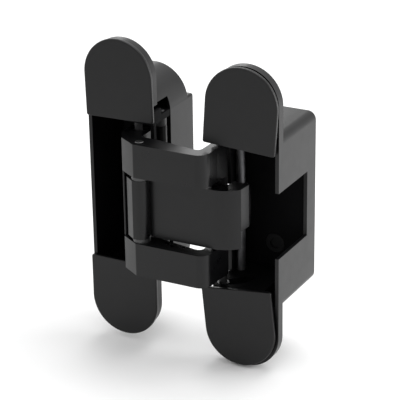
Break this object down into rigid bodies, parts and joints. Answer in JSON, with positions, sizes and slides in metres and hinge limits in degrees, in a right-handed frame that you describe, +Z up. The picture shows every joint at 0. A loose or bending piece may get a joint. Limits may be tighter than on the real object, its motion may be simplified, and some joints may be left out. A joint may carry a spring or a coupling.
{
  "type": "concealed door hinge",
  "caption": "Black concealed door hinge opened flat, with two mortised leaves joined by a pair of crossed arms and covers over the fixing holes.",
  "frame": {"origin": "middle of the left leaf's four fixing holes, on the back of its flange", "axes": "+X from the left leaf to the right leaf, +Y into the pockets, +Z up"},
  "size_m": [0.0828, 0.0453, 0.1259],
  "materials": {
    "housing_paint": "satin",
    "cover_paint": "satin",
    "arm_paint": "satin",
    "carrier_paint": "satin",
    "screw_steel": "satin",
    "pin_steel": "satin",
    "bush_steel": "satin"
  },
  "bodies": {
    "left_leaf": {"left_body": "housing_paint", "left_upper_cover": "cover_paint", "left_lower_cover": "cover_paint", "left_upper_clamp_screw": "screw_steel", "left_lower_clamp_screw": "screw_steel"},
    "left_slide": {"left_carrier": "carrier_paint", "left_pivot_pin": "pin_steel", "upper_pivot_spacer": "bush_steel", "lower_pivot_spacer": "bush_steel"},
    "outer_arm": {"outer_arm": "arm_paint", "crossing_pin": "pin_steel", "outer_upper_slide_pin": "pin_steel", "outer_lower_slide_pin": "pin_steel", "right_upper_bush": "bush_steel", "right_lower_bush": "bush_steel", "upper_crossing_washer": "bush_steel", "lower_crossing_washer": "bush_steel"},
    "centre_arm": {"centre_arm": "arm_paint", "centre_slide_pin": "pin_steel", "left_upper_bush": "bush_steel", "left_lower_bush": "bush_steel"},
    "right_leaf": {"right_body": "housing_paint", "right_upper_cover": "cover_paint", "right_lower_cover": "cover_paint", "right_carrier": "carrier_paint", "right_pivot_pin": "pin_steel", "upper_pivot_clip": "bush_steel", "lower_pivot_clip": "bush_steel", "right_upper_clamp_screw": "screw_steel", "right_lower_clamp_screw": "screw_steel"}
  },
  "joints": [
    {"name": "height_slide", "type": "slide", "parent": "left_leaf", "child": "left_slide", "axis": [0, 0, 1], "range_m": [-0.0003, 0.0022]},
    {"name": "fold", "type": "hinge", "parent": "left_slide", "child": "outer_arm", "pos_m": [0.01134, 0.00732, -0.002], "axis": [0, 0, -1], "range_deg": [0, 90.7]},
    {"name": "crossing", "type": "hinge", "parent": "outer_arm", "child": "centre_arm", "pos_m": [0.013, -0.0122, -0.002], "axis": [0, 0, -1], "range_deg": [0, 13.2]},
    {"name": "right_pivot", "type": "hinge", "parent": "centre_arm", "child": "right_leaf", "pos_m": [0.04237, 0.01467, -0.002], "axis": [0, 0, -1], "range_deg": [0, 76.1]}
  ],
  "couplings": [
    {"joint": "crossing", "follows": "fold", "ratio": 0.14553},
    {"joint": "right_pivot", "follows": "fold", "ratio": 0.83903}
  ]
}
